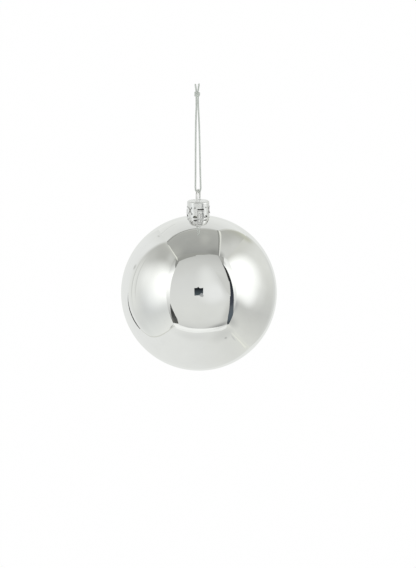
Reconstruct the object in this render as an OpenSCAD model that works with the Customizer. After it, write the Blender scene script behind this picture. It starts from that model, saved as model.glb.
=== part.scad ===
// Glass ball ornament: a hollow silvered ball, its metal cap, a sprung wire hanger
// and a knotted thread. +Z is up. The origin is the middle of the thread's knot,
// where the ornament hangs, so almost all of it lies below. Its front faces -Y.

/* [Glass ball] */
// Outside diameter of the ball
ball_d = 80; // [60:1:100]
// Thickness of the blown glass
glass_t = 0.6; // [0.5:0.1:1]
// Thickness of the silver lining
lining_t = 0.1; // [0.1:0.05:0.2]
// Outside diameter of the neck that the cap fits over
neck_d = 10.2; // [9.6:0.2:14]

/* [Cap] */
// Height of the cap, from its lower edge to its top
cap_h = 8.3; // [7.5:0.1:11]
// Thickness of the cap's sheet metal
cap_t = 0.35; // [0.25:0.05:0.45]
// Radius of the cap's rounded shoulder
shoulder_r = 0.8; // [0.6:0.1:1]
// Height of the raised rim at the cap's lower edge
rim_h = 0.4; // [0.3:0.1:1]
// Turn of the first pillar panel from the front, towards the right
cap_turn = 13; // [-30:1:30]

/* [Cap ornament] */
// Number of pillar panels round the cap, with as many crosses between them
pillars = 3; // [2:1:3]
// Width of a pillar panel and of the slot above it
pillar_w = 3.4; // [2.6:0.1:3.6]
// Height of the block at the top of a pillar
block_h = 1.2; // [0.8:0.1:2]
// Distance from the cap's top down to the lower edge of the slots
slot_down = 3.8; // [3:0.1:4.4]
// Height of the slots
slot_h = 0.5; // [0.3:0.1:0.8]
// Width of a cross
cross_w = 2.9; // [2.4:0.1:3.6]
// Height of a cross
cross_h = 3.6; // [3:0.1:4.6]
// Width of the half-round windows above the rim
window_w = 2.1; // [1.4:0.1:2.4]
// Diameter of the round bosses above the windows
boss_d = 0.7; // [0.5:0.1:1]
// Distance from the cap's top down to the middle of the bosses
boss_down = 2.8; // [2.2:0.1:3.4]
// How far the ornament and the rim stand out from the cap
relief_h = 0.15; // [0.1:0.05:0.25]
// Width of the ornament's raised lines
relief_w = 0.45; // [0.3:0.05:0.6]

/* [Wire hanger] */
// Diameter of the wire
wire_d = 1.1; // [0.8:0.1:1.4]
// Height of the loop above the cap
loop_h = 6; // [5:0.5:10]
// Length of the straight bar at the top of the loop, which hangs in the thread
bar_l = 1; // [0.8:0.1:2]
// Length of each sprung leg below the neck
leg_l = 18; // [10:1:26]
// Spread of each sprung leg from the vertical
leg_a = 30; // [20:1:40]
// Inside radius of the bend at the top of each leg
bend_r = 1; // [0.6:0.1:2]
// Turn of the loop's plane from the front-to-back direction, towards the right
hanger_turn = 13; // [0:1:45]

/* [Thread] */
// Diameter of the thread
thread_d = 0.9; // [0.6:0.05:0.95]
// Diameter of the knot
knot_d = 3; // [2.8:0.1:4]
// Height of the knot
knot_h = 3; // [2.6:0.2:4]
// Length of the thread's two tails above the knot
tail_l = 4; // [2:0.5:10]
// Lean of each tail from the vertical
tail_a = 8; // [0:1:20]

/* [Fits] */
// Gap between the neck and the cap
neck_gap = 0.2; // [0.1:0.05:0.4]
// Gap between the cap's lower edge and the ball
seat_gap = 0.1; // [0.05:0.05:0.3]
// Gap between the wire and the edge of its holes in the cap
hole_gap = 0.15; // [0.1:0.05:0.3]
// Gap between the wire's straight shanks and the inside of the neck
shank_gap = 0.55; // [0.3:0.05:0.8]
// Gap between the loop's bar and the thread under it
bight_gap = 0.1; // [0.05:0.05:0.3]

/* [Hidden] */
$fn = 96;
thread_sides = 8;
past = 1; // how far a cut runs past a face

// The thread's route from the knot down to the bottom of the bight that carries the
// hanger, in its own upright plane, as distance from the axis and height
half_route = [
    [-0.48, -1.5], [-0.48, -4], [-0.52, -7], [-0.68, -10], [-0.8, -13], [-0.9, -17],
    [-0.98, -21], [-1.05, -26], [-1.12, -31], [-1.18, -36], [-1.25, -41], [-1.33, -45],
    [-1.35, -47.1], [-1.25, -48.1], [-0.95, -48.9], [-0.5, -49.3], [0, -49.4]
];
bight = len(half_route) - 1;
flat_route = concat(
    half_route,
    [for (i = [bight - 1:-1:0]) [-half_route[i][0], half_route[i][1]]]
);
// The thread's plane stands square to the loop's plane
route = [
    for (p = flat_route) [p[0] * cos(hanger_turn), -p[0] * sin(hanger_turn), p[1]]
];
thread_top = half_route[0][1];
thread_r = thread_d / 2;

ball_r = ball_d / 2;
inside_r = ball_r - glass_t;
neck_r = neck_d / 2;
bore_r = neck_r - glass_t;
lip_r = glass_t / 2;
cap_in_r = neck_r + neck_gap;
cap_r = cap_in_r + cap_t;
rim_r = cap_r + relief_h;
wire_r = wire_d / 2;
shank_x = bore_r - shank_gap - wire_r;
arch_r = shank_x - bar_l / 2;
leg_bend_r = bend_r + wire_r;

// Heights, from the thread down
bar_z = half_route[bight][1] + thread_r + bight_gap + wire_r;
cap_top_z = bar_z + wire_r - loop_h;
cap_z = cap_top_z - cap_h;
ball_z = cap_z - seat_gap - sqrt(ball_r * ball_r - cap_in_r * cap_in_r);
neck_top_z = cap_top_z - cap_t - neck_gap;
bore_end_z = ball_z + sqrt(inside_r * inside_r - bore_r * bore_r);
bend_z = bore_end_z + wire_r; // the legs start to spread just inside the neck

// Heights on the cap, above its lower edge
wall_h = cap_h - shoulder_r;
slot_z = cap_h - slot_down;
boss_z = cap_h - boss_down;
cross_z = (rim_h + wall_h) / 2;
block_top = slot_z - relief_w;
flute_top = block_top - block_h - relief_w;
step = 360 / pillars;

module up(z) {
    translate([0, 0, z]) children();
}

// Turns its children to the right on the cap's front, then to every further step round it
module round_the_cap(start, step) {
    for (a = [0:step:359]) rotate([0, 0, start + a]) children();
}

// A cylinder with a rounded top edge
module rounded_plug(r, h, edge_r) {
    cylinder(r = r, h = h - edge_r);
    cylinder(r = r - edge_r, h = h);
    up(h - edge_r) rotate_extrude() translate([r - edge_r, 0]) intersection() {
        circle(edge_r);
        translate([-edge_r, 0]) square(2 * edge_r);
    }
}

module glass_ball() {
    color("gainsboro") difference() {
        union() {
            up(ball_z) sphere(ball_r);
            up(ball_z) cylinder(r = neck_r, h = neck_top_z - lip_r - ball_z);
            up(neck_top_z - lip_r) rotate_extrude() translate([neck_r - lip_r, 0])
                circle(lip_r);
        }
        up(ball_z) sphere(inside_r);
        up(ball_z) cylinder(r = bore_r, h = neck_top_z - ball_z + past);
    }
}

module silver_lining() {
    color("white") difference() {
        up(ball_z) sphere(inside_r);
        up(ball_z) sphere(inside_r - lining_t);
        up(ball_z) cylinder(r = bore_r, h = ball_r);
    }
}

// A block through the cap's front wall, w wide and h high with its foot at z
module wall_block(w, h, z) {
    translate([-w / 2, -rim_r - past, z]) cube([w, rim_r / 2 + past, h]);
}

// Two crossed lines, from corner to corner of the cross's width and height
module crossed_lines() {
    lean = atan2(cross_w - relief_w, cross_h);
    line = norm([cross_w - relief_w, cross_h]);
    for (side = [-1, 1])
        up(cross_z) rotate([0, side * lean, 0]) wall_block(relief_w, line, -line / 2);
}

// A block with three flutes under it
module pillar() {
    wall_block(pillar_w, block_h, block_top - block_h);
    for (x = [-1, 0, 1])
        translate([x * (pillar_w - relief_w) / 2, 0, 0])
            wall_block(relief_w, flute_top - rim_h, rim_h);
}

// A round peg through the cap's front wall
module boss() {
    translate([0, -rim_r / 2, boss_z]) rotate([90, 0, 0])
        cylinder(d = boss_d, h = rim_r / 2 + past);
}

// A half-round window that stands on the rim
module window() {
    up(rim_h) intersection() {
        rotate([90, 0, 0]) cylinder(d = window_w, h = rim_r + 2 * past);
        wall_block(2 * window_w, window_w, 0);
    }
}

// The rim and the raised ornament, let into the cap's wall by half its thickness
module relief() {
    intersection() {
        difference() {
            cylinder(r = rim_r, h = wall_h);
            up(-past) cylinder(r = cap_r - cap_t / 2, h = wall_h + 2 * past);
        }
        union() {
            cylinder(r = rim_r + past, h = rim_h);
            round_the_cap(cap_turn, step) pillar();
            round_the_cap(cap_turn + step / 2, step) crossed_lines();
            round_the_cap(cap_turn + step / 4, step / 2) boss();
        }
    }
}

module cap() {
    color("silver") up(cap_z) difference() {
        union() {
            rounded_plug(cap_r, cap_h, shoulder_r);
            relief();
        }
        rounded_plug(cap_in_r, cap_h - cap_t, shoulder_r - cap_t);
        up(-past) cylinder(r = cap_in_r, h = 2 * past);
        round_the_cap(cap_turn, step) wall_block(pillar_w, slot_h, slot_z);
        round_the_cap(cap_turn + step / 4, step / 2) window();
        rotate([0, 0, -hanger_turn]) for (side = [-1, 1])
            translate([0, side * shank_x, cap_h - cap_t - past])
                cylinder(r = wire_r + hole_gap, h = cap_t + 2 * past);
    }
}

// Half of the wire, from the middle of the bar to the end of its leg, in the XZ plane
module half_hanger() {
    up(bar_z) rotate([0, 90, 0]) cylinder(r = wire_r, h = bar_l / 2);
    translate([bar_l / 2, 0, bar_z - arch_r]) rotate([90, 0, 0])
        rotate_extrude(angle = 90) translate([arch_r, 0]) circle(wire_r);
    translate([shank_x, 0, bend_z]) cylinder(r = wire_r, h = bar_z - arch_r - bend_z);
    translate([shank_x + leg_bend_r, 0, bend_z]) rotate([90, 0, 0]) rotate([0, 0, 180])
        rotate_extrude(angle = leg_a) translate([leg_bend_r, 0]) circle(wire_r);
    translate([
        shank_x + leg_bend_r * (1 - cos(leg_a)), 0, bend_z - leg_bend_r * sin(leg_a)
    ])
        rotate([0, 180 - leg_a, 0]) cylinder(r = wire_r, h = leg_l);
}

module wire_hanger() {
    color("lightgray") rotate([0, 0, 90 - hanger_turn]) {
        half_hanger();
        mirror([1, 0, 0]) half_hanger();
    }
}

// The thread's ring at point i of the route is square to the way that the route runs there
function way(i) = route[min(i + 1, 2 * bight)] - route[max(i - 1, 0)];
across = [sin(hanger_turn), cos(hanger_turn), 0];
function ring_point(i, k) =
    let (a = 360 * k / thread_sides, side = cross(way(i) / norm(way(i)), across))
    route[i] + thread_r * (cos(a) * across + sin(a) * side);

module hanging_thread() {
    points = [for (i = [0:2 * bight], k = [0:thread_sides - 1]) ring_point(i, k)];
    sides = [
        for (i = [0:2 * bight - 1], k = [0:thread_sides - 1])
            let (a = i * thread_sides, b = a + thread_sides, next = (k + 1) % thread_sides)
            [a + k, b + k, b + next, a + next]
    ];
    first_end = [for (k = [0:thread_sides - 1]) k];
    last_end = [for (k = [thread_sides - 1:-1:0]) 2 * bight * thread_sides + k];
    color("darkgray") polyhedron(points, concat([first_end], sides, [last_end]));
}

// Three turns of thread round a core, whose flat foot meets the thread's two strands
module thread_knot() {
    core_r = knot_d / 2 - thread_r;
    color("darkgray") {
        up(thread_top) cylinder(r = core_r, h = knot_h);
        for (turn = [0, 0.5, 1])
            up(thread_top + thread_r + turn * (knot_h - thread_d)) rotate_extrude()
                translate([core_r, 0]) circle(thread_r);
        rotate([0, 0, -hanger_turn]) for (side = [-1, 1])
            translate([side * thread_r, 0, thread_top + knot_h - thread_r])
                rotate([0, side * tail_a, 0])
                    cylinder(r = thread_r, h = tail_l + thread_r);
    }
}

glass_ball();
silver_lining();
cap();
wire_hanger();
hanging_thread();
thread_knot();
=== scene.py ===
import math

import bmesh
import bpy
from mathutils import Matrix, Vector


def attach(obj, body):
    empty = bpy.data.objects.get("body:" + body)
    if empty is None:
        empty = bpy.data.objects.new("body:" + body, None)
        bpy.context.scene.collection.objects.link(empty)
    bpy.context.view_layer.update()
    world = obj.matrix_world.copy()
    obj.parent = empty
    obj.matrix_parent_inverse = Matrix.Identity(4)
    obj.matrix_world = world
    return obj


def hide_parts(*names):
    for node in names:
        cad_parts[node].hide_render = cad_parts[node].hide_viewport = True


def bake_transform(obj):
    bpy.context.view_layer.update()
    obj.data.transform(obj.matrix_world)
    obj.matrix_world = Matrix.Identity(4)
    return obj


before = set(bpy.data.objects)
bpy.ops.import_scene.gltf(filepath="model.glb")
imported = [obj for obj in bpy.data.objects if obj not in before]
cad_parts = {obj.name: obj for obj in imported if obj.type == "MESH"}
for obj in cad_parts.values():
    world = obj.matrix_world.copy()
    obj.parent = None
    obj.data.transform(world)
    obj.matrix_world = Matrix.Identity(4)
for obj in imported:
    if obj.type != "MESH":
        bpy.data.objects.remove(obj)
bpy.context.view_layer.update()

MM = 0.001

# Sizes are in millimetres and angles in degrees. The origin is the hanging point.

# Points closer than these count as one: on a finished piece, on the cap as it is rolled, and
# on its enlarged strip when relief is pressed and when it is cut
TOUCH = 0.002
ROLLED_TOUCH = 0.005
PRESSED_TOUCH = 0.02
CUT_TOUCH = 0.01

# Ball: its middle's height, and its neck's heights from that middle
BALL_R = 40
BALL_Z = -101.797
GLASS_T = 0.6
NECK_R = 5.1
NECK_FOOT = 39.75
OPENING_R = 5.5
FILLET_R = 5.35
# From the ball round the fillet and up the neck, as (radius, height)
NECK_PROFILE = [
    (FILLET_R, math.sqrt(BALL_R**2 - FILLET_R**2)), (5.22, 39.69), (5.14, 39.78),
    (NECK_R, 39.9), (NECK_R, 43), (NECK_R, 47.497),
]

# Cap: its lower edge's height, and the other heights from that edge
CAP_Z = -62.05
CAP_R = 5.65
CAP_T = 0.35
CAP_H = 8.3
CAP_TURN = 13
SHOULDER_R = 0.8
WALL_H = CAP_H - SHOULDER_R
RIM_H = 0.4
HOLE_R = 0.7
PILLAR_W = 3.4
FLUTE_W = 0.45
BLOCK_TOP = 4.05
SLOT_Z = 4.5
SLOT_H = 0.5
ARCH_Z = 2.3
ARCH_RISE = 0.6
CROSS_W = 2.9
CROSS_H = 3.6
CROSS_Z = (RIM_H + WALL_H) / 2
BOSS_R = 0.4
BOSS_Z = 5.5
WINDOW_R = 1.15
STRIP_FOOT = RIM_H + 0.05

# The strip that makes a third of the cap's wall: how far round it goes, and the turns from
# the pillar's middle to its own middle, its cross, and its two bosses with their windows
STRIP_TURN = 120
STRIP_MIDDLE = 42
CROSS_TURN = 60
BOSS_TURNS = (30, 90)

# How far the cap's rim stands out, and the relief as steps of (width of the slope, rise)
RELIEF = 0.15
PRESSING = [(0.15, 0.14)]
DOME = [(0.05, 0.06), (0.08, 0.05), (0.1, 0.03)]
LIP = [(0.06, 0.05)]

# Wire hanger
WIRE_R = 0.55
BAR_Z = -48.3
BAR_HALF = 0.5
SHANK_X = 3.4
BEND_Z = -62.105
LEG_BEND_R = 1.55
LEG_L = 18
LEG_A = 30
HANGER_TURN = 13

# Thread and knot
THREAD_R = 0.45
PLIES = 3
PLY_PITCH = 2.6
PLY_DEPTH = 0.16
CORD_SIDES = 24
CORD_STEP = 0.2
# A cord's share of its full thickness at its cut end, at the next point, and beyond
CORD_TAPER = (0.55, 0.85, 1)
KNOT_HALF = 1.5
WOUND_R = 1.05
WRAPS = 2.75
TAIL_A = 8

# The thread's route, in its own upright plane: distance from the axis, and height
HALF_ROUTE = [
    (-0.48, -1.5), (-0.48, -4), (-0.52, -7), (-0.68, -10), (-0.8, -13), (-0.9, -17),
    (-0.98, -21), (-1.05, -26), (-1.12, -31), (-1.18, -36), (-1.25, -41), (-1.33, -45),
    (-1.35, -47.1), (-1.25, -48.1), (-0.95, -48.9), (-0.5, -49.3), (0, -49.4),
]


# --- camera ---
# The aim is in metres from the ball's middle, and the distance is in metres.

CAMERA_RISE = 14
CAMERA_AWAY = 0.75
CAMERA_LENS = 92.44
CAMERA_AIM = (0.00468, 0, 0.00458)
CAMERA_ROLL = -0.42


def set_up_camera():
    rise = math.radians(CAMERA_RISE)
    middle = Vector((0, 0, BALL_Z * MM))
    back = Vector((0, -math.cos(rise), math.sin(rise)))
    place = middle + CAMERA_AWAY * back
    camera = new_object("camera", bpy.data.cameras.new("camera"))
    camera.data.lens = CAMERA_LENS
    camera.data.clip_start = 0.01
    camera.data.clip_end = 50
    look = (middle + Vector(CAMERA_AIM)) - place
    turn = look.to_track_quat("-Z", "Y").to_matrix().to_4x4()
    roll = Matrix.Rotation(math.radians(CAMERA_ROLL), 4, "Z")
    camera.matrix_world = Matrix.Translation(place) @ turn @ roll
    bpy.context.scene.camera = camera


# --- workbench ---


def deselect_all():
    for thing in bpy.context.selected_objects:
        thing.select_set(False)


def new_object(name, data):
    thing = bpy.data.objects.new(name, data)
    bpy.context.scene.collection.objects.link(thing)
    return thing


def take(piece):
    deselect_all()
    piece.select_set(True)
    bpy.context.view_layer.objects.active = piece


def open_mesh(piece):
    take(piece)
    bpy.ops.object.mode_set(mode="EDIT")


def close_mesh():
    bpy.ops.object.mode_set(mode="OBJECT")


def pick_faces(piece, wanted, unit=MM):
    """Selects the wanted faces, by their middles, measured in the unit, and their normals."""
    bpy.ops.mesh.select_all(action="DESELECT")
    bpy.ops.mesh.select_mode(type="FACE")
    mesh = bmesh.from_edit_mesh(piece.data)
    for face in mesh.faces:
        if wanted(face.calc_center_median() / unit, face.normal):
            face.select_set(True)
    bmesh.update_edit_mesh(piece.data)


def pick_open_rim(piece, wanted):
    """Selects the wanted edges along an opening, by their middles in millimetres."""
    bpy.ops.mesh.select_all(action="DESELECT")
    bpy.ops.mesh.select_mode(type="EDGE")
    mesh = bmesh.from_edit_mesh(piece.data)
    for edge in mesh.edges:
        middle = (edge.verts[0].co + edge.verts[1].co) / 2 / MM
        if edge.is_boundary and wanted(middle):
            edge.select_set(True)
    bmesh.update_edit_mesh(piece.data)


def draw_out(x, z):
    bpy.ops.mesh.extrude_region_move(TRANSFORM_OT_translate={"value": (x * MM, 0, z * MM)})


def add_ring(rise, scale, height):
    draw_out(0, rise)
    bpy.ops.transform.resize(value=(scale, scale, 1), center_override=(0, 0, height * MM))


def lathe(piece, start, steps, base):
    """Carries an open rim on through each (radius, height) of steps, from (radius, height) start."""
    radius, height = start
    for next_radius, next_height in steps:
        add_ring(next_height - height, next_radius / radius, base + next_height)
        radius, height = next_radius, next_height


def apply_modifier(piece, kind, **settings):
    take(piece)
    modifier = piece.modifiers.new(kind.lower(), kind)
    for setting, value in settings.items():
        setattr(modifier, setting, value)
    bpy.ops.object.modifier_apply(modifier=modifier.name)


def round_edges(piece, width, segments):
    """Rounds the edges where faces meet at more than 60 degrees."""
    apply_modifier(
        piece,
        "BEVEL",
        width=width * MM,
        segments=segments,
        limit_method="ANGLE",
        angle_limit=math.radians(60),
    )


def join_points(touch):
    bpy.ops.mesh.select_all(action="SELECT")
    bpy.ops.mesh.remove_doubles(threshold=touch)


def face_outwards(piece):
    open_mesh(piece)
    join_points(TOUCH * MM)
    bpy.ops.mesh.normals_make_consistent(inside=False)
    close_mesh()


def smooth(piece, angle=None):
    take(piece)
    if angle is None:
        bpy.ops.object.shade_smooth()
    else:
        bpy.ops.object.shade_smooth_by_angle(angle=math.radians(angle))


def settle(piece):
    """The piece's object goes to the origin, unturned and unscaled, and its mesh keeps the place."""
    take(piece)
    bpy.ops.object.transform_apply(location=True, rotation=True, scale=True)


def dress(piece, material):
    piece.data.materials.clear()
    piece.data.materials.append(material)


def paint_faces(piece, wanted):
    """Gives the wanted faces the second of the piece's materials."""
    piece.active_material_index = 1
    open_mesh(piece)
    pick_faces(piece, wanted)
    bpy.ops.object.material_slot_assign()
    close_mesh()


def new_primitive(name):
    piece = bpy.context.object
    piece.name = name
    piece.data.name = name
    return piece


# --- materials ---


class Finish:
    """A material, with the nodes that are added to it."""

    def __init__(self, name):
        self.material = bpy.data.materials.new(name)
        self.material.use_nodes = True
        self.tree = self.material.node_tree
        self.tree.nodes.clear()
        self.output = self.add("ShaderNodeOutputMaterial")

    def add(self, kind, inputs=None, **settings):
        node = self.tree.nodes.new(kind)
        for setting, value in settings.items():
            setattr(node, setting, value)
        for socket, value in (inputs or {}).items():
            if isinstance(value, bpy.types.NodeSocket):
                self.tree.links.new(value, node.inputs[socket])
            else:
                node.inputs[socket].default_value = value
        return node

    def place(self, scale=(1, 1, 1), offset=(0, 0, 0), source="Object"):
        where = self.add("ShaderNodeTexCoord").outputs[source]
        inputs = {"Vector": where, "Scale": scale, "Location": offset}
        return self.add("ShaderNodeMapping", inputs).outputs["Vector"]

    def noise(self, place, scale, detail=2, roughness=0.5):
        inputs = {"Vector": place, "Scale": scale, "Detail": detail, "Roughness": roughness}
        return self.add("ShaderNodeTexNoise", inputs).outputs["Fac"]

    def spread(self, value, low, high, to_low=0, to_high=1, smooth_step=False):
        return self.add(
            "ShaderNodeMapRange",
            {"Value": value, "From Min": low, "From Max": high, "To Min": to_low, "To Max": to_high},
            interpolation_type="SMOOTHSTEP" if smooth_step else "LINEAR",
        ).outputs["Result"]

    def maths(self, kind, first, second=0):
        return self.add("ShaderNodeMath", {0: first, 1: second}, operation=kind).outputs[0]

    def most(self, *values):
        out = values[0]
        for value in values[1:]:
            out = self.maths("MAXIMUM", out, value)
        return out

    def specks(self, place, scale, size, rarity):
        """Small round specks, in the share of cells above the rarity."""
        cells = self.add("ShaderNodeTexVoronoi", {"Vector": place, "Scale": scale})
        spot = self.spread(cells.outputs["Distance"], size * 0.5, size, 1, 0)
        tint = self.add("ShaderNodeSeparateColor", {"Color": cells.outputs["Color"]})
        return self.maths("MULTIPLY", spot, self.spread(tint.outputs[0], rarity, rarity + 0.01))

    def mix(self, share, first, second):
        inputs = {0: share, 6: first, 7: second}
        return self.add("ShaderNodeMix", inputs, data_type="RGBA").outputs[2]

    def shaded(self, value, stops):
        """A run of colours through stops of (value, colour)."""
        low = stops[0][0]
        high = stops[-1][0] if len(stops) > 1 else low + 1
        ramp = self.add("ShaderNodeValToRGB", {"Fac": self.spread(value, low, high)})
        elements = ramp.color_ramp.elements
        elements.remove(elements[1])
        for i, (place, colour) in enumerate(stops):
            at = (place - low) / (high - low)
            element = elements.new(at) if i else elements[0]
            element.position = at
            element.color = colour
        return ramp.outputs["Color"]

    def bump(self, height, distance, normal=None):
        inputs = {"Height": height, "Strength": 1, "Distance": distance}
        if normal is not None:
            inputs["Normal"] = normal
        return self.add("ShaderNodeBump", inputs).outputs["Normal"]

    def finish(self, **inputs):
        shader = self.add(
            "ShaderNodeBsdfPrincipled",
            {name.replace("_", " "): value for name, value in inputs.items()},
        )
        self.tree.links.new(shader.outputs["BSDF"], self.output.inputs["Surface"])
        return self.material

    def glow(self, colour):
        shader = self.add("ShaderNodeEmission", {"Color": colour, "Strength": 1})
        self.tree.links.new(shader.outputs["Emission"], self.output.inputs["Surface"])
        return self.material


def grey(level, warm=0.0):
    return (level * (1 + warm), level, level * (1 - warm), 1)


def silvered_glass():
    """Blown glass over silver: slow waves, fine ripples, thin cloud and a few specks."""
    f = Finish("silvered_glass")
    where = f.place()
    waves = f.noise(where, 38, 1)
    ripples = f.noise(where, 240, 2)
    cloud = f.noise(where, 80, 5, 0.62)
    specks = f.specks(where, 420, 0.07, 0.9)
    film = f.spread(cloud, 0.48, 0.75, 0.016, 0.045)
    colour = f.mix(f.spread(cloud, 0.4, 0.8), grey(0.935, 0.002), grey(0.91, 0.006))
    return f.finish(
        Base_Color=f.mix(specks, colour, grey(0.8, 0.01)),
        Metallic=1,
        Roughness=f.most(film, f.spread(specks, 0, 1, 0, 0.3)),
        Coat_Weight=0.6,
        Coat_Roughness=0.01,
        Normal=f.bump(ripples, 0.000003, f.bump(waves, 0.00008)),
    )


def silver_film():
    """The back of the silvering: dull, with runs where it drained."""
    f = Finish("silver_film")
    runs = f.noise(f.place((1, 1, 0.15)), 300, 4, 0.6)
    blotches = f.noise(f.place(), 120, 4, 0.6)
    colour = f.mix(f.spread(runs, 0.35, 0.7), grey(0.86, 0.01), grey(0.66, 0.04))
    return f.finish(
        Base_Color=f.mix(f.spread(blotches, 0.55, 0.7), colour, grey(0.5, 0.08)),
        Metallic=1,
        Roughness=f.spread(runs, 0.3, 0.7, 0.18, 0.42),
        Normal=f.bump(runs, 0.00002),
    )


def bright_metal():
    """Plated sheet metal: shallow dents, fine grain, a thin film and the lines of spinning."""
    f = Finish("bright_metal")
    where = f.place()
    dents = f.noise(where, 330, 2)
    grain = f.noise(where, 7000, 2)
    film = f.noise(where, 900, 5, 0.65)
    lines = f.noise(f.place((0.04, 0.04, 1)), 7000, 2)
    colour = f.mix(f.spread(film, 0.45, 0.8), grey(0.91, -0.004), grey(0.82, 0.01))
    return f.finish(
        Base_Color=f.mix(f.spread(lines, 0.62, 0.75, 0, 0.5), colour, grey(0.7)),
        Metallic=1,
        Roughness=f.most(f.spread(film, 0.3, 0.7, 0.18, 0.28), f.spread(lines, 0.6, 0.7, 0, 0.3)),
        Normal=f.bump(grain, 0.000001, f.bump(dents, 0.00007)),
    )


def tarnish_and_painted_shade():
    """The pressed relief, where plating is thin and the tarnish stays; its dark is also painted shade in
    the recesses and painted reflection of the dark room.
    """
    f = Finish("tarnish_and_painted_shade")
    where = f.place()
    stain = f.noise(where, 2200, 4, 0.6)
    grain = f.noise(where, 9000, 2)
    return f.finish(
        Base_Color=f.mix(f.spread(stain, 0.35, 0.65), grey(0.36, 0.01), grey(0.1, 0.05)),
        Metallic=1,
        Roughness=f.spread(stain, 0.3, 0.7, 0.18, 0.4),
        Normal=f.bump(grain, 0.000002),
    )


def painted_shade_inside():
    """The inside of the cap, made very dark: painted shade."""
    f = Finish("painted_shade_inside")
    where = f.place()
    stain = f.noise(where, 800, 5, 0.6)
    grain = f.noise(f.place((1, 1, 0.08)), 6000, 2)
    return f.finish(
        Base_Color=f.mix(f.spread(stain, 0.35, 0.65), grey(0.12, 0.05), grey(0.04, 0.12)),
        Metallic=1,
        Roughness=f.spread(stain, 0.3, 0.7, 0.35, 0.6),
        Normal=f.bump(grain, 0.000003),
    )


def neck_painted_light():
    """The neck's silver, with painted light: a painted highlight at one side, painted dim reflection
    elsewhere, and painted shade at the top.
    """
    f = Finish("neck_painted_light")
    where = f.add("ShaderNodeSeparateXYZ", {"Vector": f.place()})
    smoke = f.noise(f.place((1, 1, 0.3)), 500, 4, 0.6)
    rings = f.noise(f.place((0.1, 0.1, 1)), 1500, 2)
    # Painted highlight on one side of the neck; the rest gets a painted dim reflection.
    painted_highlight_side = f.spread(where.outputs["X"], 0.0024, 0.003)
    # Painted shade: the neck is made dark at the top, under the cap.
    height = f.spread(where.outputs["Z"], (CAP_Z + 1.8) * MM, (CAP_Z + 4) * MM)
    thin = f.mix(f.spread(smoke, 0.35, 0.65), (0.3, 0.31, 0.26, 1), (0.4, 0.41, 0.36, 1))
    silver = f.mix(painted_highlight_side, thin, grey(0.95))
    return f.finish(
        Base_Color=f.mix(height, silver, grey(0.16, 0.03)),
        Metallic=1,
        Roughness=f.spread(smoke, 0.3, 0.7, 0.06, 0.2),
        Normal=f.bump(rings, 0.000008),
    )


def drawn_wire():
    """Bright wire with the fine lines that drawing it leaves."""
    f = Finish("drawn_wire")
    lines = f.noise(f.place((1, 1, 0.03)), 9000, 2)
    film = f.noise(f.place(), 700, 4, 0.6)
    colour = f.mix(f.spread(film, 0.45, 0.75), grey(0.88), grey(0.78, 0.01))
    return f.finish(
        Base_Color=f.mix(f.spread(lines, 0.5, 0.75, 0, 0.5), colour, grey(0.5)),
        Metallic=1,
        Roughness=f.spread(lines, 0.3, 0.7, 0.08, 0.2),
        Normal=f.bump(lines, 0.000002),
    )


def silver_cord():
    """Grey fibres that turn with the plies, pale on the crowns, with painted shade darker between them.
    """
    f = Finish("silver_cord")
    split = f.add("ShaderNodeSeparateXYZ", {"Vector": f.place(source="UV")})
    turned = f.maths("MULTIPLY", split.outputs["Y"], -1 / PLY_PITCH)
    round_ply = f.maths("ADD", split.outputs["X"], turned)
    lobe = f.maths("COSINE", f.maths("MULTIPLY", round_ply, math.pi * PLIES))
    # Painted shade: a darker colour in the grooves between the plies.
    painted_ply_shade = f.spread(f.maths("ABSOLUTE", lobe), 0.2, 0.75)
    strand = f.add("ShaderNodeCombineXYZ", {"X": f.maths("MULTIPLY", round_ply, 9)})
    f.tree.links.new(split.outputs["Y"], strand.inputs["Y"])
    fibres = f.noise(strand.outputs["Vector"], 3, 3, 0.6)
    pale = f.mix(f.spread(fibres, 0.35, 0.65), (0.7, 0.74, 0.71, 1), (0.87, 0.9, 0.87, 1))
    return f.finish(
        Base_Color=f.mix(painted_ply_shade, (0.5, 0.53, 0.51, 1), pale),
        Roughness=f.spread(fibres, 0.3, 0.7, 0.4, 0.6),
        Sheen_Weight=0.3,
        Normal=f.bump(fibres, 0.00003),
    )


# --- thread ---


def in_thread_plane(along, height):
    turn = math.radians(HANGER_TURN)
    return Vector((along * math.cos(turn), -along * math.sin(turn), height)) * MM


def thread_route():
    flat = HALF_ROUTE + [(-s, z) for s, z in reversed(HALF_ROUTE[:-1])]
    return [in_thread_plane(s, z) for s, z in flat]


def curve_through(points, pieces):
    """Points close together on one smooth line through the given points."""
    line = []
    last = len(points) - 1
    for i in range(last):
        p0 = points[max(i - 1, 0)]
        p1 = points[i]
        p2 = points[i + 1]
        p3 = points[min(i + 2, last)]
        for k in range(pieces):
            t = k / pieces
            bend = (2 * p0 - 5 * p1 + 4 * p2 - p3) * t**2 + (3 * p1 - p0 - 3 * p2 + p3) * t**3
            line.append(0.5 * (2 * p1 + (p2 - p0) * t + bend))
    line.append(points[last])
    return line


def spaced_out(line, step):
    """The same line with points one step apart."""
    lengths = [0]
    for a, b in zip(line, line[1:]):
        lengths.append(lengths[-1] + (b - a).length)
    count = max(2, round(lengths[-1] / step))
    out = []
    j = 0
    for i in range(count + 1):
        want = lengths[-1] * i / count
        while j < len(line) - 2 and lengths[j + 1] < want:
            j += 1
        part = (want - lengths[j]) / max(lengths[j + 1] - lengths[j], 1e-12)
        out.append(line[j].lerp(line[j + 1], part))
    return out


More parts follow.
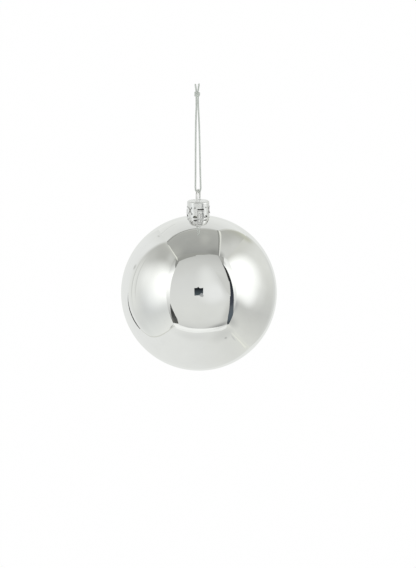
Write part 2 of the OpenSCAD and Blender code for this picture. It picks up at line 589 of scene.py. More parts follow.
def lay_cord(name, lines, radius):
    """Twisted cords along the given lines, as one mesh with its own map of round and along."""
    points = []
    faces = []
    maps = []
    for line in lines:
        first = len(points)
        side = None
        run = 0
        for i, p in enumerate(line):
            way = (line[min(i + 1, len(line) - 1)] - line[max(i - 1, 0)]).normalized()
            side = way.orthogonal() if side is None else side
            side = (side - way * side.dot(way)).normalized()
            other = way.cross(side)
            run += (p - line[i - 1]).length if i else 0
            ends = min(i, len(line) - 1 - i)
            swell = CORD_TAPER[min(ends, 2)]
            for k in range(CORD_SIDES):
                a = math.tau * k / CORD_SIDES
                lobe = abs(math.cos(PLIES / 2 * (a - math.tau * run / (PLY_PITCH * MM))))
                r = radius * swell * (1 - PLY_DEPTH + PLY_DEPTH * lobe)
                points.append(p + r * (math.cos(a) * side + math.sin(a) * other))
                maps.append((k / CORD_SIDES, run / MM))
        for i in range(len(line) - 1):
            for k in range(CORD_SIDES):
                a = first + i * CORD_SIDES + k
                b = first + i * CORD_SIDES + (k + 1) % CORD_SIDES
                faces.append((a, b, b + CORD_SIDES, a + CORD_SIDES))
        faces.append(tuple(first + k for k in reversed(range(CORD_SIDES))))
        last = first + (len(line) - 1) * CORD_SIDES
        faces.append(tuple(last + k for k in range(CORD_SIDES)))
    mesh = bpy.data.meshes.new(name)
    mesh.from_pydata([p[:] for p in points], [], faces)
    layer = mesh.uv_layers.new(name="along")
    for face in mesh.polygons:
        spots = [maps[corner] for corner in face.vertices]
        across_seam = max(u for u, _ in spots) - min(u for u, _ in spots) > 0.5
        for loop, (u, v) in zip(face.loop_indices, spots):
            layer.data[loop].uv = (u + 1 if across_seam and u < 0.5 else u, v)
    piece = new_object(name, mesh)
    smooth(piece, 50)
    return piece


def make_thread(cord):
    route = thread_route()
    line = spaced_out(curve_through(route, 12), CORD_STEP * MM)
    thread = lay_cord("doubled_thread", [line], THREAD_R * MM)
    dress(thread, cord)
    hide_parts("hanging_thread")
    return thread, line


def knot_lines():
    """One strand goes up through the knot; the other winds round it nearly three times."""
    apart = -HALF_ROUTE[0][0]
    foot = -KNOT_HALF - 0.3
    rise = 2 * (KNOT_HALF - THREAD_R)
    wound = [in_thread_plane(apart, foot)]
    count = 60
    for i in range(count + 1):
        t = i / count
        reach = WOUND_R * min(1, 0.45 + t * 8, 0.45 + (1 - t) * 8)
        a = math.tau * WRAPS * t
        place = (reach * math.cos(a), reach * math.sin(a), -rise / 2 + rise * t)
        wound.append(Vector(place) * MM)
    lean = math.tan(math.radians(TAIL_A))
    for h in (0.1, 1, 2, 3, 3.9):
        wound.append(in_thread_plane(THREAD_R + h * lean, KNOT_HALF + h))
    through = [in_thread_plane(-apart, foot), in_thread_plane(-THREAD_R, 0)]
    for h in (0, 1, 2, 3, 3.6):
        through.append(in_thread_plane(-THREAD_R - h * lean, KNOT_HALF + h))
    return [wound, through]


def make_knot(cord):
    lines = [spaced_out(curve_through(line, 6), CORD_STEP * MM) for line in knot_lines()]
    knot = lay_cord("wound_knot", lines, THREAD_R * MM)
    dress(knot, cord)
    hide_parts("thread_knot")
    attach(knot, "knot")
    return knot


def hang_thread():
    cord = silver_cord()
    thread, line = make_thread(cord)
    knot = make_knot(cord)
    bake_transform(thread)


# --- ball ---


def make_ball(glass, painted_neck):
    bpy.ops.mesh.primitive_uv_sphere_add(
        segments=192, ring_count=128, radius=BALL_R * MM, location=(0, 0, BALL_Z * MM)
    )
    ball = new_primitive("blown_ball")
    settle(ball)
    open_mesh(ball)
    pick_faces(ball, lambda at, _: at.z > BALL_Z and math.hypot(at.x, at.y) < OPENING_R)
    bpy.ops.mesh.delete(type="FACE")
    pick_open_rim(ball, lambda at: at.z > BALL_Z)
    rim = [v.co / MM for v in bmesh.from_edit_mesh(ball.data).verts if v.select][0]
    lathe(ball, (math.hypot(rim.x, rim.y), rim.z - BALL_Z), NECK_PROFILE, BALL_Z)
    close_mesh()
    apply_modifier(ball, "SOLIDIFY", thickness=GLASS_T * MM, offset=-1)
    round_edges(ball, 0.25, 4)
    smooth(ball)
    dress(ball, glass)
    # The neck takes the material with its painted highlight and painted shade.
    ball.data.materials.append(painted_neck)
    paint_faces(ball, lambda at, _: at.z > BALL_Z + NECK_FOOT)
    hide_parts("glass_ball")
    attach(ball, "ball")


# --- cap ---
# One third of the cap's wall is worked flat and a thousand times enlarged, as a strip that
# starts just left of a pillar: X is the way round from the pillar's middle, and Z the
# height above the cap's lower edge.


def round_at(degrees):
    return math.radians(degrees) * CAP_R


def within(left, right, low, high):
    return lambda at, _: left < at.x < right and low < at.z < high


def cut_line(piece, wanted, x, z, lean):
    """Cuts the wanted faces along a line through x and z that leans from upright."""
    pick_faces(piece, wanted, 1)
    a = math.radians(lean)
    bpy.ops.mesh.bisect(
        plane_co=(x, 0, z), plane_no=(math.cos(a), 0, -math.sin(a)), threshold=CUT_TOUCH
    )


def cut_round(piece, wanted, x, z, radius, sides, turn=360):
    """Cuts the sides of a round shape about x and z, or of as much of it as turn covers."""
    step = turn / sides
    reach = radius * math.cos(math.radians(step / 2))
    for i in range(sides):
        a = (i + 0.5) * step
        side_x = x + reach * math.cos(math.radians(a))
        side_z = z + reach * math.sin(math.radians(a))
        cut_line(piece, wanted, side_x, side_z, -a)


def in_circle(x, z, radius):
    return lambda at, _: math.hypot(at.x - x, at.z - z) < radius


def press_out(piece, wanted, steps):
    """Raises the wanted faces through steps of (width of the slope, rise)."""
    join_points(PRESSED_TOUCH)
    pick_faces(piece, wanted, 1)
    for width, rise in steps:
        bpy.ops.mesh.inset(thickness=width, depth=rise)


def pierce(piece, wanted):
    """Cuts the wanted faces out, and leaves a thin lip turned out round the hole."""
    press_out(piece, wanted, LIP)
    bpy.ops.mesh.delete(type="FACE")


def press_pillar(strip):
    half = PILLAR_W / 2
    left = FLUTE_W / 2
    right = half - FLUTE_W
    middle = (left + right) / 2
    reach = (right - left) / 2
    left_room = 0.1
    right_room = 0.3
    panel = within(-half - left_room, half + right_room, STRIP_FOOT, WALL_H)
    for x in (left, right, half):
        cut_line(strip, panel, x, 0, 0)
        cut_line(strip, panel, -x, 0, 0)
    lip = LIP[0][0]
    slot = (SLOT_Z - lip, SLOT_Z + SLOT_H + lip)
    for z in (ARCH_Z, ARCH_Z + ARCH_RISE, BLOCK_TOP, *slot):
        cut_line(strip, panel, 0, z, 90)
    lean = math.degrees(math.atan2(reach, ARCH_RISE))
    for x in (-middle, middle):
        arch = within(x - reach, x + reach, ARCH_Z, ARCH_Z + ARCH_RISE)
        cut_line(strip, arch, x, ARCH_Z + ARCH_RISE, lean)
        cut_line(strip, arch, x, ARCH_Z + ARCH_RISE, -lean)

    def raised(at, _):
        from_middle = abs(abs(at.x) - middle)
        arch_top = ARCH_Z + ARCH_RISE * (1 - from_middle / reach)
        solid = from_middle > reach or at.z > arch_top
        return solid and abs(at.x) < half and STRIP_FOOT < at.z < BLOCK_TOP

    press_out(strip, raised, PRESSING)
    pierce(strip, within(-half, half, *slot))


def press_cross(strip, x):
    half_w = CROSS_W / 2
    half_h = CROSS_H / 2
    room = 0.3
    left = x - half_w - room
    right = x + half_w + room
    column = within(left, right, STRIP_FOOT, WALL_H)
    for z in (CROSS_Z - half_h, CROSS_Z + half_h):
        cut_line(strip, column, x, z, 90)
    box = within(left, right, CROSS_Z - half_h, CROSS_Z + half_h)
    lean = math.degrees(math.atan2(CROSS_W - FLUTE_W, CROSS_H))
    beside = FLUTE_W / 2 / math.cos(math.radians(lean))
    for side in (-1, 1):
        for edge in (-beside, beside):
            cut_line(strip, box, x + edge, CROSS_Z, side * lean)
    slope = math.tan(math.radians(lean))

    def raised(at, _):
        from_line = min(abs(at.x - x - s * slope * (at.z - CROSS_Z)) for s in (-1, 1))
        return from_line < beside and abs(at.z - CROSS_Z) < half_h

    press_out(strip, raised, PRESSING)


def press_boss(strip, x):
    reach = 1.5 * BOSS_R
    column = within(x - reach, x + reach, STRIP_FOOT, WALL_H)
    for z in (BOSS_Z - reach, BOSS_Z + reach):
        cut_line(strip, column, x, z, 90)
    box = within(x - reach, x + reach, BOSS_Z - reach, BOSS_Z + reach)
    cut_round(strip, box, x, BOSS_Z, BOSS_R, 12)
    boss = in_circle(x, BOSS_Z, BOSS_R)
    pick_faces(strip, boss, 1)
    bpy.ops.mesh.dissolve_faces()
    press_out(strip, boss, DOME)


def pierce_window(strip, x):
    reach = WINDOW_R + 0.1
    half_column = 2
    column = within(x - half_column, x + half_column, STRIP_FOOT, WALL_H)
    cut_line(strip, column, x, STRIP_FOOT + reach, 90)
    box = within(x - reach, x + reach, STRIP_FOOT, STRIP_FOOT + reach)
    cut_round(strip, box, x, STRIP_FOOT, WINDOW_R, 8, 180)
    whole = in_circle(x, STRIP_FOOT, WINDOW_R)
    pierce(strip, lambda at, normal: at.z > STRIP_FOOT and whole(at, normal))


def press_strip():
    bpy.ops.mesh.primitive_grid_add(
        x_subdivisions=40,
        y_subdivisions=1,
        size=1,
        location=(round_at(STRIP_MIDDLE), 0, (RIM_H + WALL_H) / 2),
        rotation=(math.pi / 2, 0, 0),
    )
    strip = new_primitive("pressed_cap")
    strip.scale = (round_at(STRIP_TURN), WALL_H - RIM_H, 1)
    settle(strip)
    open_mesh(strip)
    for z in (STRIP_FOOT, WALL_H - 0.1):
        cut_line(strip, lambda at, _: True, 0, z, 90)
    press_pillar(strip)
    press_cross(strip, round_at(CROSS_TURN))
    for turn in BOSS_TURNS:
        press_boss(strip, round_at(turn))
        pierce_window(strip, round_at(turn))
    close_mesh()
    strip.scale = (MM, MM, MM)
    settle(strip)
    return strip


def paint_tarnish_and_shade(strip):
    """The slopes of the relief, the bosses and the tops of the crosses are a darker metal: tarnish with
    painted shade and painted reflection.
    """
    bosses = [in_circle(round_at(turn), BOSS_Z, BOSS_R) for turn in BOSS_TURNS]

    # The dark on these faces is tarnish with painted shade in the recesses and painted reflection of the
    # dark room.
    def tarnish_and_shade_faces(at, normal):
        on_boss = any(boss(at, normal) for boss in bosses)
        on_cross = abs(at.x - round_at(CROSS_TURN)) < CROSS_W and at.y < -RELIEF / 2
        on_slope = normal.y > -0.97
        return on_boss or on_cross or on_slope

    paint_faces(strip, tarnish_and_shade_faces)


def roll_up(strip):
    """Three strips end to end are bent round into the cap's wall."""
    apply_modifier(
        strip,
        "ARRAY",
        count=3,
        relative_offset_displace=(0, 0, 0),
        use_relative_offset=False,
        use_constant_offset=True,
        constant_offset_displace=(round_at(STRIP_TURN) * MM, 0, 0),
        use_merge_vertices=True,
        merge_threshold=TOUCH * MM,
    )
    apply_modifier(
        strip, "SIMPLE_DEFORM", deform_method="BEND", deform_axis="Z", angle=math.radians(360)
    )
    strip.location = (0, -CAP_R * MM, 0)
    settle(strip)
    open_mesh(strip)
    join_points(ROLLED_TOUCH * MM)
    close_mesh()


def close_top(cap):
    """The shoulder and the top are drawn up and in from the wall."""
    open_mesh(cap)
    pick_open_rim(cap, lambda at: at.z > WALL_H - 0.01)
    shoulder = []
    for i in range(1, 7):
        a = math.radians(15 * i)
        radius = CAP_R - SHOULDER_R * (1 - math.cos(a))
        shoulder.append((radius, WALL_H + SHOULDER_R * math.sin(a)))
    top = [(r, CAP_H) for r in (4.5, 3.4, 2.2, 1.1, 0.35)]
    lathe(cap, (CAP_R, WALL_H), shoulder + top, 0)
    bpy.ops.mesh.edge_face_add()
    pick_open_rim(cap, lambda at: at.z < RIM_H + 0.01)
    rim = [
        (CAP_R + 0.1, RIM_H - 0.03), (CAP_R + RELIEF, RIM_H - 0.1), (CAP_R + RELIEF, 0.03),
        (CAP_R + 0.11, -0.08), (CAP_R + 0.04, -0.11),
    ]
    lathe(cap, (CAP_R, RIM_H), rim, 0)
    close_mesh()


def drill_top(cap):
    """Two round holes for the wire, on the line of the hanger's loop."""
    sides = 24
    cut_reach = 2.2
    open_mesh(cap)
    for side in (-1, 1):
        middle = Vector((0, side * SHANK_X, CAP_H))
        for i in range(sides):
            a = math.radians(360 * (i + 0.5) / sides)
            away = Vector((math.cos(a), math.sin(a), 0))
            pick_faces(cap, lambda at, _: (at - middle).length < cut_reach)
            bpy.ops.mesh.bisect(
                plane_co=(middle + HOLE_R * away) * MM, plane_no=away, threshold=TOUCH * MM
            )
        pick_faces(cap, lambda at, _: (at - middle).length < HOLE_R)
        bpy.ops.mesh.delete(type="FACE")
    close_mesh()


def make_cap(bright, tarnish_and_shade_metal, dull):
    """The walls inside take the material two on from the one outside, so the dark inside material,
    painted shade, is there twice.
    """
    cap = press_strip()
    dress(cap, bright)
    for material in (tarnish_and_shade_metal, dull, dull):
        cap.data.materials.append(material)
    paint_tarnish_and_shade(cap)
    roll_up(cap)
    close_top(cap)
    face_outwards(cap)
    cap.rotation_euler = (0, 0, math.radians(CAP_TURN + HANGER_TURN))
    settle(cap)
    drill_top(cap)
    apply_modifier(cap, "SOLIDIFY", thickness=CAP_T * MM, offset=-1, material_offset=2)
    cap.rotation_euler = (0, 0, -math.radians(HANGER_TURN))
    cap.location = (0, 0, CAP_Z * MM)
    settle(cap)
    smooth(cap, 35)
    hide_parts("cap")
    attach(cap, "cap")


# --- hanger ---


def bend_wire(x, z, angle, steps):
    """Carries the wire's open end round a bend about x and z. The angle is counted
    anticlockwise as seen from the front."""
    bpy.ops.mesh.spin(steps=steps, angle=angle, center=(x * MM, 0, z * MM), axis=(0, 1, 0))


def make_hanger(metal):
    """Half of the wire is drawn out from the bar's middle, and then mirrored."""
    bpy.ops.mesh.primitive_circle_add(
        vertices=20, radius=WIRE_R * MM, location=(0, 0, BAR_Z * MM), rotation=(0, math.pi / 2, 0)
    )
    wire = new_primitive("bent_wire")
    settle(wire)
    arch_r = SHANK_X - BAR_HALF
    arch_z = BAR_Z - arch_r
    lean = math.radians(LEG_A)
    open_mesh(wire)
    bpy.ops.mesh.select_mode(type="VERT")
    bpy.ops.mesh.select_all(action="SELECT")
    draw_out(BAR_HALF, 0)
    bend_wire(BAR_HALF, arch_z, -math.pi / 2, 20)
    draw_out(0, BEND_Z - arch_z)
    bend_wire(SHANK_X + LEG_BEND_R, BEND_Z, lean, 8)
    draw_out(LEG_L * math.sin(lean), -LEG_L * math.cos(lean))
    bpy.ops.mesh.edge_face_add()
    close_mesh()
    apply_modifier(wire, "MIRROR", use_clip=True, merge_threshold=0.001 * MM)
    face_outwards(wire)
    round_edges(wire, 0.12, 3)
    wire.rotation_euler = (0, 0, math.radians(90 - HANGER_TURN))
    settle(wire)
    smooth(wire, 40)
    dress(wire, metal)
    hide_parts("wire_hanger")
    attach(wire, "hanger")


# --- light tent ---
# Places are in metres from the ball's middle: to the right, away from the camera, and up.

TENT_FRONT = -0.25
TENT_BACK = 0.62
TENT_LEFT = -0.255
TENT_RIGHT = 0.34
TENT_TOP = 0.405
TENT_FLOOR = -0.37


def tone(brightness, yellow=0.02, red=-0.01):
    """The colour of lit cloth: brightness as the eye sees it, from 0, black, to 1, white."""
    level = brightness**2.2 / 0.93
    return (level * (0.99 + red), level, level * (0.988 - yellow), 1)


def tones(stops):
    return [(place, tone(*paint)) for place, *paint in stops]


def cloth(name, axis, stops, spots=(), folds=(14, 14, 14), depth=0.02):
    """Lit cloth that goes through stops of (place along axis, tone), with soft spots on it:
    (place, size, core, tone or stops), where a spot is even out to its core. A tone is
    written as the one to three numbers that go to the function tone."""
    f = Finish(name)
    along = f.add("ShaderNodeSeparateXYZ", {"Vector": f.place()}).outputs[axis]
    colour = f.shaded(along, tones(stops))
    for place, size, core, *paint in spots:
        scale = [1 / s for s in size]
        near = f.place(scale, [-p * s for p, s in zip(place, scale)])
        ball = f.add("ShaderNodeTexGradient", {"Vector": near}, gradient_type="SPHERICAL")
        share = f.spread(ball.outputs["Fac"], 0, 1 - core, smooth_step=True)
        has_stops = isinstance(paint[0], list)
        patch = f.shaded(along, tones(paint[0])) if has_stops else tone(*paint)
        colour = f.mix(share, colour, patch)
    waves = f.noise(f.place(folds), 1, 4, 0.6)
    level = f.spread(waves, 0.25, 0.75, 1 - depth, 1 + depth)
    lit = f.add("ShaderNodeVectorMath", {0: colour, "Scale": level}, operation="SCALE")
    return f.glow(lit.outputs["Vector"])


def hang_cloth(name, points, material):
    mesh = bpy.data.meshes.new(name)
    mesh.from_pydata(points, [], [tuple(range(len(points)))])
    panel = new_object(name, mesh)
    panel.location = (0, 0, BALL_Z * MM)
    panel.rotation_euler = (-math.radians(CAMERA_RISE), 0, 0)
    panel.visible_camera = False
    mesh.materials.append(material)


def set_on(flat, across, value):
    return (*flat[:across], value, *flat[across:])


def hang_flat(name, across, face, ahead, outline, along, stops, spots=(), *weave):
    """A panel square to the axis across (0 for X, 1 for Y, 2 for Z), and as many millimetres
    inside a face of the tent as ahead says. Its outline and the places and sizes of its
    spots are given flat. What follows the spots, the weave, is the cloth's folds and depth."""
    place = face + math.copysign(ahead * MM, -face)
    points = [set_on(at, across, place) for at in outline]
    spots = [(set_on(at, across, face), set_on(size, across, 1), *rest) for at, size, *rest in spots]
    hang_cloth(name, points, cloth(name, along, stops, spots, *weave))


def front_wall(name, ahead, outline, *paint):
    hang_flat(name, 1, TENT_FRONT, ahead, outline, "Z", *paint)


def side_wall(name, side, ahead, outline, *paint):
    hang_flat(name, 0, side, ahead, outline, "Z", *paint)


def flat_sheet(name, height, ahead, outline, *paint):
    hang_flat(name, 2, height, ahead, outline, "Y", *paint)


def rectangle(left, right, low, high):
    return [(left, low), (right, low), (right, high), (left, high)]


def hang_front_wall():
    front_wall(
        "tent_front", 0,
        rectangle(TENT_LEFT, TENT_RIGHT, TENT_FLOOR, TENT_TOP),
        [(-0.37, 0.91), (-0.33, 0.955), (-0.3, 0.93), (0.2, 0.58, 0.05), (0.3, 0.585, 0.06),
         (0.4, 0.6, 0.06)],
        [((-0.25, 0.4), (0.12, 0.12), 0.1, 0.66, 0.06),
         ((0.25, -0.36), (0.17, 0.06), 0, 0.84),
         ((0.22, 0.36), (0.07, 0.12), 0.1, 0.66, 0.04)],
    )
    front_wall(
        "tent_left_return", 1,
        [(-0.255, -0.3), (-0.18, -0.12), (-0.18, 0.2), (-0.2, 0.27), (-0.255, 0.37)],
        [(-0.25, 0.5), (-0.18, 0.66), (-0.12, 0.78), (-0.05, 0.86), (0.03, 1.02), (0.15, 1.03),
         (0.2, 0.87), (0.26, 0.74, 0.04), (0.35, 0.67, 0.05)],
    )
    front_wall(
        "tent_right_return", 1,
        [(0.34, -0.37), (0.2, -0.1), (0.2, 0.2), (0.222, 0.25), (0.29, 0.41), (0.34, 0.41)],
        [(-0.2, 0.62), (-0.1, 0.8), (0, 0.92), (0.08, 1.02), (0.2, 1.02), (0.26, 0.95), (0.33, 0.92),
         (0.4, 0.85, 0.03)],
        [((0.23, 0.3), (0.05, 0.09), 0, 0.74)],
    )


def hang_gaps():
    """The dark room shows at both sides of the front sheet. High up on the left are a shade
    and a seam."""
    front_wall(
        "right_gap", 2,
        [(0.206, 0.265), (0.236, 0.205), (0.258, 0.11), (0.272, 0.05), (0.282, 0), (0.291, -0.05),
         (0.299, -0.1), (0.315, -0.155), (0.33, -0.2), (0.345, -0.245), (0.345, -0.365), (0.31, -0.355),
         (0.2, -0.3), (0.2, 0.2)],
        [(-0.34, 0.33, -0.13, -0.15), (-0.2, 0.37, -0.16, -0.18), (-0.12, 0.36, -0.12, -0.1),
         (-0.09, 0.28, -0.25, -0.1), (0.05, 0.2, -0.3, -0.1), (0.13, 0.18), (0.225, 0.22), (0.26, 0.45)],
        [((0.3, -0.33), (0.06, 0.05), 0, 0.26, -0.1, -0.15)],
        (30, 1, 12), 0.12,
    )
    front_wall(
        "left_gap", 2,
        [(-0.213, -0.075), (-0.15, -0.15), (-0.15, -0.25), (-0.182, -0.27), (-0.25, -0.287),
         (-0.236, -0.2), (-0.226, -0.14), (-0.219, -0.1)],
        [(-0.28, 0.36, 0.1), (-0.22, 0.33), (-0.15, 0.24), (-0.1, 0.35)],
        [((-0.25, -0.24), (0.045, 0.06), 0, 0.43, 0.08)],
    )
    front_wall(
        "left_shade", 2,
        [(-0.222, 0.335), (-0.19, 0.33), (-0.15, 0.2), (-0.183, 0.19), (-0.204, 0.24), (-0.213, 0.285)],
        [(0.2, 0.5, 0.05), (0.3, 0.56, 0.05)],
    )
    front_wall(
        "left_front_seam", 3,
        [(-0.255, 0.402), (-0.236, 0.357), (-0.197, 0.297), (-0.187, 0.3), (-0.225, 0.372),
         (-0.244, 0.405)],
        [(0.3, 0.7, 0.07), (0.36, 0.86, 0.08)],
    )


def hang_front_sheet():
    front_wall(
        "front_sheet", 4,
        [(-0.172, 0.275), (-0.1, 0.299), (-0.03, 0.317), (-0.02, 0.34), (0.05, 0.345), (0.1, 0.368),
         (0.2, 0.392), (0.203, 0.3), (0.204, 0.25), (0.209, 0.2), (0.217, 0.13), (0.226, 0.08),
         (0.23, -0.05), (0.236, -0.1), (0.251, -0.2), (0.272, -0.28), (0.3, -0.345), (0.2, -0.325),
         (0.1, -0.308), (0, -0.302), (-0.1, -0.297), (-0.182, -0.28), (-0.178, -0.25), (-0.175, -0.2),
         (-0.192, -0.14), (-0.212, -0.075), (-0.206, 0), (-0.197, 0.1), (-0.184, 0.2)],
        [(-0.32, 0.8), (-0.25, 0.81, 0.03), (-0.2, 0.832, 0.03), (-0.1, 0.843, 0.03), (0, 0.838),
         (0.1, 0.82), (0.2, 0.785, 0.03), (0.3, 0.745, 0.03), (0.38, 0.72, 0.04)],
        [((0.05, 0.07), (0.09, 0.16), 0.1, 0.875),
         ((0.1, 0), (0.14, 0.09), 0.2, 0.9, 0.01),
         ((0.2, 0.08), (0.09, 0.14), 0.3, 0.79, 0.03),
         ((0.25, -0.19), (0.1, 0.2), 0.2, 0.76, 0.04),
         ((0.19, -0.31), (0.19, 0.07), 0, 0.6),
         ((-0.1, -0.3), (0.16, 0.05), 0, 0.77)],
        (9, 1, 14), 0.012,
    )
    front_wall(
        "fold_shade", 5,
        [(0.105, 0.15), (0.118, 0.12), (0.15, 0.065), (0.2, 0), (0.234, -0.03), (0.232, 0.08),
         (0.17, 0.15)],
        [(-0.02, 0.785, 0.04), (0.1, 0.785, 0.03), (0.15, 0.81, 0.03)],
    )
    front_wall(
        "camera_front", 6,
        [(-0.026, 0.026), (-0.01, 0.027), (-0.003, 0.034), (0.004, 0.026), (0.014, 0.025), (0.025, 0.028),
         (0.024, -0.004), (0.007, -0.015), (-0.025, -0.016)],
        [(-0.018, 0.37, -0.1, -0.2), (-0.004, 0.3, -0.12, -0.2), (0.012, 0.23, -0.15, -0.2),
         (0.02, 0.15, -0.2, -0.1)],
    )
    front_wall(
        "camera_foot", 7,
        [(0.004, -0.01), (0.015, -0.001), (0.023, -0.007), (0.027, -0.019), (0.021, -0.026),
         (0.01, -0.023), (0.003, -0.016)],
        [(-0.01, 0.6, -0.03, -0.03), (-0.022, 0.7)],
    )


def hang_left_wall():
    near_wall = [
        (-0.37, 0.885), (-0.28, 0.885, 0.03), (-0.18, 0.845, 0.02, -0.02),
        (-0.08, 0.785, 0.01, -0.02), (0.05, 0.8, 0.03), (0.2, 0.74, 0.04), (0.3, 0.7, 0.05),
        (0.36, 0.71, 0.06), (0.4, 0.75, 0.05),
    ]
    side_wall(
        "left_wall", TENT_LEFT, 0,
        rectangle(TENT_FRONT, TENT_BACK, TENT_FLOOR, TENT_TOP),
        [(-0.37, 0.875), (-0.2, 0.885, 0.01), (0.25, 0.885, 0.01), (0.33, 0.865), (0.4, 0.85)],
        [((-0.35, -0.05), (0.49, 0.94), 0.89, near_wall),
         ((-0.2, 0.3), (0.14, 0.12), 0.1, 0.76, 0.04),
         ((-0.08, 0.28), (0.12, 0.12), 0.1, 0.69, 0.05),
         ((0.07, 0.02), (0.12, 0.2), 0.1, 0.87, 0.03),
         ((0.042, 0.08), (0.009, 0.14), 0.2, 0.75, 0.03),
         ((0.056, 0.06), (0.007, 0.13), 0.2, 0.84, 0.03),
         ((0.09, 0.06), (0.009, 0.14), 0.2, 0.76, 0.03),
         ((0.135, 0.105), (0.03, 0.02), 0, 0.74, 0.03),
         ((0.25, 0.365), (0.05, 0.02), 0, 0.76, 0.03),
         ((-0.2, -0.31), (0.06, 0.018), 0, 0.66, 0.04),
         ((-0.03, 0.08), (0.11, 0.11), 0, 0.89),
         ((-0.12, -0.03), (0.15, 0.12), 0, 0.87, 0, -0.02),
         ((-0.25, 0.07), (0.29, 0.22), 0.15, 1.08)],
        (1, 22, 5), 0.018,
    )
    foot = [
        (-0.25, -0.338), (-0.17, -0.321), (-0.115, -0.31), (-0.053, -0.293), (0.015, -0.272),
        (0.06, -0.251), (0.101, -0.225), (0.121, -0.192), (0.133, -0.171), (0.14, -0.15),
    ]
    side_wall(
        "wall_foot", TENT_LEFT, 2,
        [*foot, (0.2, -0.16), (0.3, TENT_FLOOR), (-0.25, TENT_FLOOR)],
        [(-0.37, 0.872), (-0.2, 0.882, 0.01)],
    )
    side_wall(
        "wall_foot_seam", TENT_LEFT, 4,
        [*foot, *((x - 0.004, z + 0.011) for x, z in reversed(foot))],
        [(-0.34, 0.79, 0.08), (-0.3, 0.81, 0.06), (-0.15, 0.8, 0.05)],
    )
    side_wall(
        "curtain_gap", TENT_LEFT, 6,
        [(0.145, 0.005), (0.166, -0.025), (0.174, -0.06), (0.168, -0.1), (0.158, -0.13), (0.146, -0.152),
         (0.136, -0.15), (0.14, -0.125), (0.146, -0.1), (0.154, -0.06), (0.154, -0.025)],
        [(-0.15, 0.3), (-0.06, 0.25), (0, 0.5)],
    )


def hang_right_wall():
    side_wall(
        "right_wall", TENT_RIGHT, 0,
        rectangle(TENT_FRONT, TENT_BACK, TENT_FLOOR, TENT_TOP),
        [(-0.37, 0.835, 0.04), (-0.25, 0.8, 0.04), (-0.12, 0.752, 0.03), (0.02, 0.805, 0.04),
         (0.12, 0.85, 0.04), (0.25, 0.84, 0.04), (0.33, 0.8, 0.05), (0.4, 0.79, 0.06)],
        [((0.42, 0.38), (0.2, 0.1), 0, 0.73, 0.14),
         ((0.55, 0), (0.25, 0.35), 0.2, 0.82, 0.02),
         ((-0.25, -0.3), (0.2, 0.1), 0, 0.72, 0.03),
         ((-0.25, -0.1), (0.06, 0.12), 0, 0.68, 0),
         ((-0.06, 0.08), (0.26, 0.24), 0, 0.93, 0.02),
         ((-0.1, -0.02), (0.13, 0.11), 0.1, 0.97, 0.01),
         ((-0.25, 0.15), (0.38, 0.27), 0.4, 1.07)],
        (1, 6, 22), 0.018,
    )


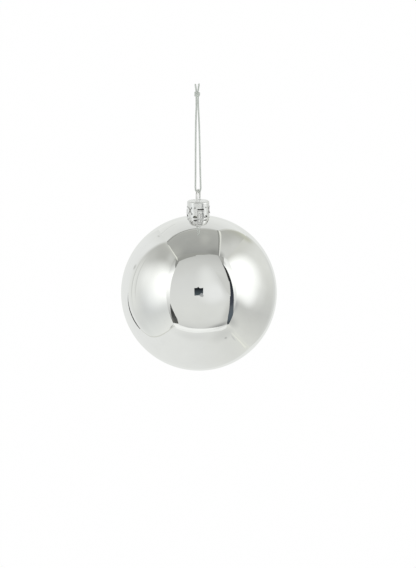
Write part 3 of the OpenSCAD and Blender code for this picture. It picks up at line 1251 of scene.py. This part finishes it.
def hang_ceiling():
    flat_sheet(
        "ceiling_beyond", TENT_TOP, 0,
        rectangle(TENT_LEFT, TENT_RIGHT, TENT_FRONT, TENT_BACK),
        [(0.1, 0.825), (0.2, 0.855), (0.35, 0.875), (0.6, 0.895)],
        [((-0.255, 0.1), (0.2, 0.2), 0, 0.86)],
    )
    flat_sheet(
        "ceiling_right_edge", TENT_TOP, 1,
        [(0.12, 0.1), (0.15, 0.19), (0.185, 0.28), (0.235, 0.39), (0.32, 0.56), (0.34, 0.4)],
        [(0.1, 0.77, 0.04), (0.5, 0.82, 0.08)],
    )
    flat_sheet(
        "ceiling_right", TENT_TOP, 2,
        [(0.13, 0.105), (0.165, 0.18), (0.203, 0.27), (0.253, 0.38), (0.3, 0.48), (0.345, 0.56),
         (0.345, -0.25), (0.2, -0.25)],
        [(-0.25, 0.8, 0.03), (-0.1, 0.775, 0.04), (0, 0.715, 0.05), (0.1, 0.685, 0.06), (0.3, 0.69, 0.1),
         (0.5, 0.76, 0.14)],
        [((0.35, -0.05), (0.17, 0.45), 0.2, 0.79, 0.04),
         ((0.22, -0.25), (0.09, 0.1), 0.1, 0.6, 0.04)],
    )
    flat_sheet(
        "ceiling_edge", TENT_TOP, 3,
        [(-0.255, -0.2), (-0.255, 0.045), (-0.18, 0.084), (-0.1, 0.1), (0, 0.11), (0.1, 0.124),
         (0.13, 0.132), (0.13, -0.2)],
        [(0.05, 0.74, 0.04)],
    )
    flat_sheet(
        "ceiling", TENT_TOP, 4,
        [(-0.255, -0.25), (-0.255, 0.02), (-0.18, 0.057), (-0.1, 0.072), (0, 0.085), (0.1, 0.107),
         (0.13, 0.112), (0.145, 0.06), (0.158, 0), (0.182, -0.1), (0.21, -0.2), (0.225, -0.25)],
        [(-0.25, 0.59, 0.04), (-0.15, 0.63, 0.05), (0, 0.65, 0.05), (0.1, 0.67, 0.06)],
        [((-0.24, -0.17), (0.13, 0.15), 0.1, 0.67, 0.06),
         ((0.16, -0.25), (0.1, 0.14), 0.1, 0.555, 0.05),
         ((0.05, -0.04), (0.06, 0.14), 0.1, 0.68, 0.06)],
        (9, 16, 1), 0.035,
    )
    seam = [
        (0.127, 0.123), (0.143, 0.06), (0.155, 0), (0.176, -0.1), (0.202, -0.2), (0.217, -0.25),
    ]
    for name, ahead, left, right, shade in (
        ("ceiling_seam_shade", 5, -0.009, 0.003, 0.57),
        ("ceiling_seam", 6, 0.002, 0.016, 0.87),
    ):
        near_side = [(x + left, y) for x, y in seam]
        far_side = [(x + right, y) for x, y in reversed(seam)]
        stops = [(-0.25, shade - 0.06, 0.04), (0.1, shade, 0.07)]
        flat_sheet(name, TENT_TOP, ahead, near_side + far_side, stops)
    flat_sheet(
        "ceiling_left_seam", TENT_TOP, 6,
        [(-0.255, -0.25), (-0.255, -0.02), (-0.248, -0.03), (-0.243, -0.25)],
        [(-0.25, 0.88, 0.08), (-0.03, 0.86, 0.08)],
    )
    flat_sheet(
        "ceiling_edge_shade", TENT_TOP, 6,
        [(-0.247, 0.024), (-0.176, 0.056), (-0.114, 0.076), (-0.051, 0.09), (0, 0.098), (0, 0.108),
         (-0.051, 0.102), (-0.114, 0.088), (-0.176, 0.07), (-0.247, 0.042)],
        [(0.05, 0.58, 0.05)],
    )
    flat_sheet(
        "ceiling_stripe", TENT_TOP, 2,
        [(-0.25, 0.276), (-0.209, 0.31), (-0.132, 0.362), (-0.132, 0.378), (-0.209, 0.328),
         (-0.255, 0.29)],
        [(0.3, 0.8)],
    )


def lay_floor_sheet():
    hang_flat(
        "tent_floor", 2, TENT_FLOOR, 0,
        rectangle(TENT_LEFT, TENT_RIGHT, TENT_FRONT, TENT_BACK),
        "X",
        [(-0.25, 0.877), (-0.1, 0.87), (0, 0.86), (0.1, 0.85, 0.03), (0.2, 0.833, 0.03),
         (0.28, 0.835, 0.04), (0.34, 0.85, 0.06)],
        [((0.22, -0.14), (0.2, 0.12), 0.1, 0.79, 0.03),
         ((-0.05, -0.18), (0.25, 0.08), 0, 0.835),
         ((0.215, -0.08), (0.02, 0.022), 0, 0.66),
         ((0.275, -0.02), (0.012, 0.09), 0, 0.75)],
        (14, 5, 1), 0.012,
    )
    flat_sheet(
        "hem_on_floor", TENT_FLOOR, 1,
        [(-0.255, -0.25), (-0.255, -0.24), (-0.1, -0.232), (0.05, -0.235), (0.15, -0.225), (0.22, -0.205),
         (0.28, -0.21), (0.31, -0.25)],
        [(-0.25, 0.93), (-0.22, 0.9)],
    )
    flat_sheet(
        "floor_seam", TENT_FLOOR, 2,
        [(0.29, -0.1), (0.298, 0.1), (0.3, 0.4), (0.315, 0.4), (0.31, 0.1), (0.297, -0.1)],
        [(0, 0.885, 0.08)],
    )


def put_up_tent():
    hang_front_wall()
    hang_gaps()
    hang_front_sheet()
    hang_left_wall()
    hang_right_wall()
    hang_ceiling()
    lay_floor_sheet()
    outline = rectangle(TENT_LEFT, TENT_RIGHT, TENT_FLOOR, TENT_TOP)
    hang_flat("tent_back", 1, TENT_BACK, 0, outline, "Z", [(0, 0.88)])


# --- paper and world ---
# Sizes are in metres.

PAPER_SIZE = 30
PAPER_Z = -0.62
PAPER_WHITE = 0.985


def pale_paper():
    """Nearly pure white to the camera, in mirrors and through glass, and plain paper to
    the rest of the light."""
    f = Finish("pale_floor")
    rays = f.add("ShaderNodeLightPath").outputs
    kinds = ("Is Camera Ray", "Is Glossy Ray", "Is Transmission Ray")
    share = f.maths("MULTIPLY", f.most(*(rays[kind] for kind in kinds)), PAPER_WHITE)
    plain = f.add("ShaderNodeBsdfDiffuse", {"Color": grey(0.9)})
    white = f.add("ShaderNodeEmission", {"Color": grey(1), "Strength": 1})
    both = f.add("ShaderNodeMixShader", {0: share, 1: plain.outputs[0], 2: white.outputs[0]})
    f.tree.links.new(both.outputs[0], f.output.inputs["Surface"])
    return f.material


def set_up_floor():
    deselect_all()
    bpy.ops.mesh.primitive_plane_add(size=PAPER_SIZE, location=(0, 0, PAPER_Z))
    floor = new_primitive("floor")
    dress(floor, pale_paper())


def set_up_world():
    world = bpy.data.worlds.new("studio")
    bpy.context.scene.world = world
    world.use_nodes = True
    back = world.node_tree.nodes["Background"]
    back.inputs["Color"].default_value = (1, 1, 1, 1)
    back.inputs["Strength"].default_value = 1
    bpy.context.scene.view_settings.view_transform = "Standard"


set_up_camera()
deselect_all()
hang_thread()
glass = silvered_glass()
metal = bright_metal()
# Tarnish with painted shade and painted reflection, for the cap's relief.
tarnish_and_shade_metal = tarnish_and_painted_shade()
# Painted shade: the cap's inside is made very dark.
dull = painted_shade_inside()
# The neck's silver with painted highlight, painted dim reflection and painted shade.
neck_light_and_shade = neck_painted_light()
make_ball(glass, neck_light_and_shade)
make_cap(metal, tarnish_and_shade_metal, dull)
make_hanger(drawn_wire())
dress(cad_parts["silver_lining"], silver_film())
put_up_tent()
set_up_floor()
set_up_world()
